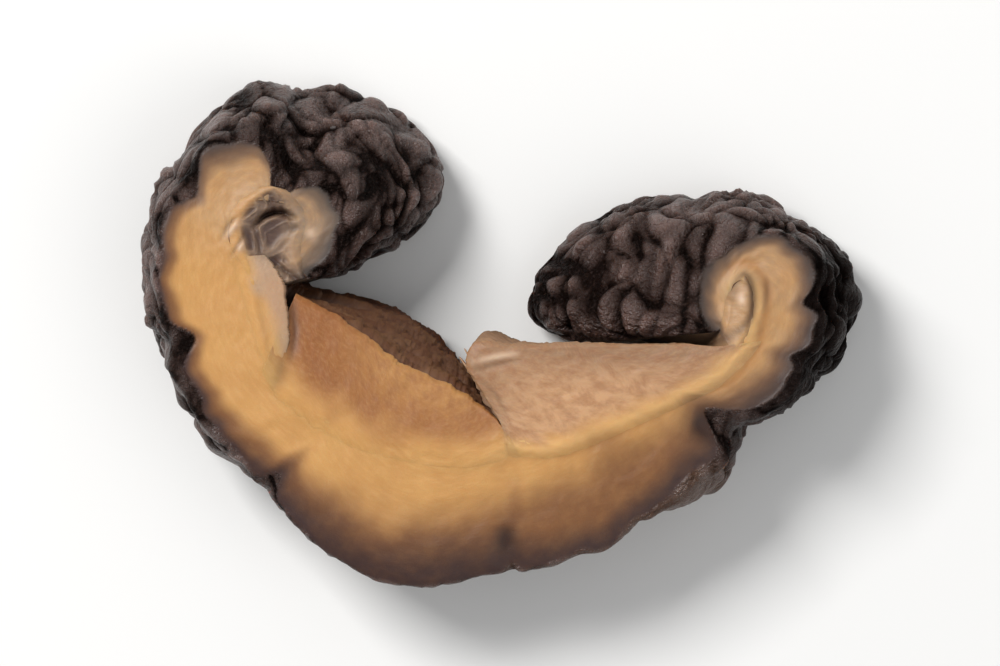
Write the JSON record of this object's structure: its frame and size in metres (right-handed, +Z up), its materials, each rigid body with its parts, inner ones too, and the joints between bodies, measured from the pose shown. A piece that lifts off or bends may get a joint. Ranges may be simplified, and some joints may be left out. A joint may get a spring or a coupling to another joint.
{
  "type": "dried shiitake slice",
  "caption": "C-shaped cross slice of a dried shiitake cap: flesh band with dark wrinkled skin outside, thin gills inside and the margin rolled in at both ends, lying on its cut face.",
  "frame": {"origin": "middle of the slice's box seen from above, on the ground plane that its lower cut face rests on", "axes": "+X along the slice from the hooked end to the rolled end, +Y towards the open side of the C, +Z up out of the upper cut face"},
  "size_m": [0.0432, 0.0304, 0.009],
  "materials": {
    "mushroom": "golden tan cut flesh, brown gills and near-black wrinkled skin, with a soft moist gloss"
  },
  "bodies": {
    "root": {"shiitake_slice": "mushroom"}
  },
  "joints": []
}
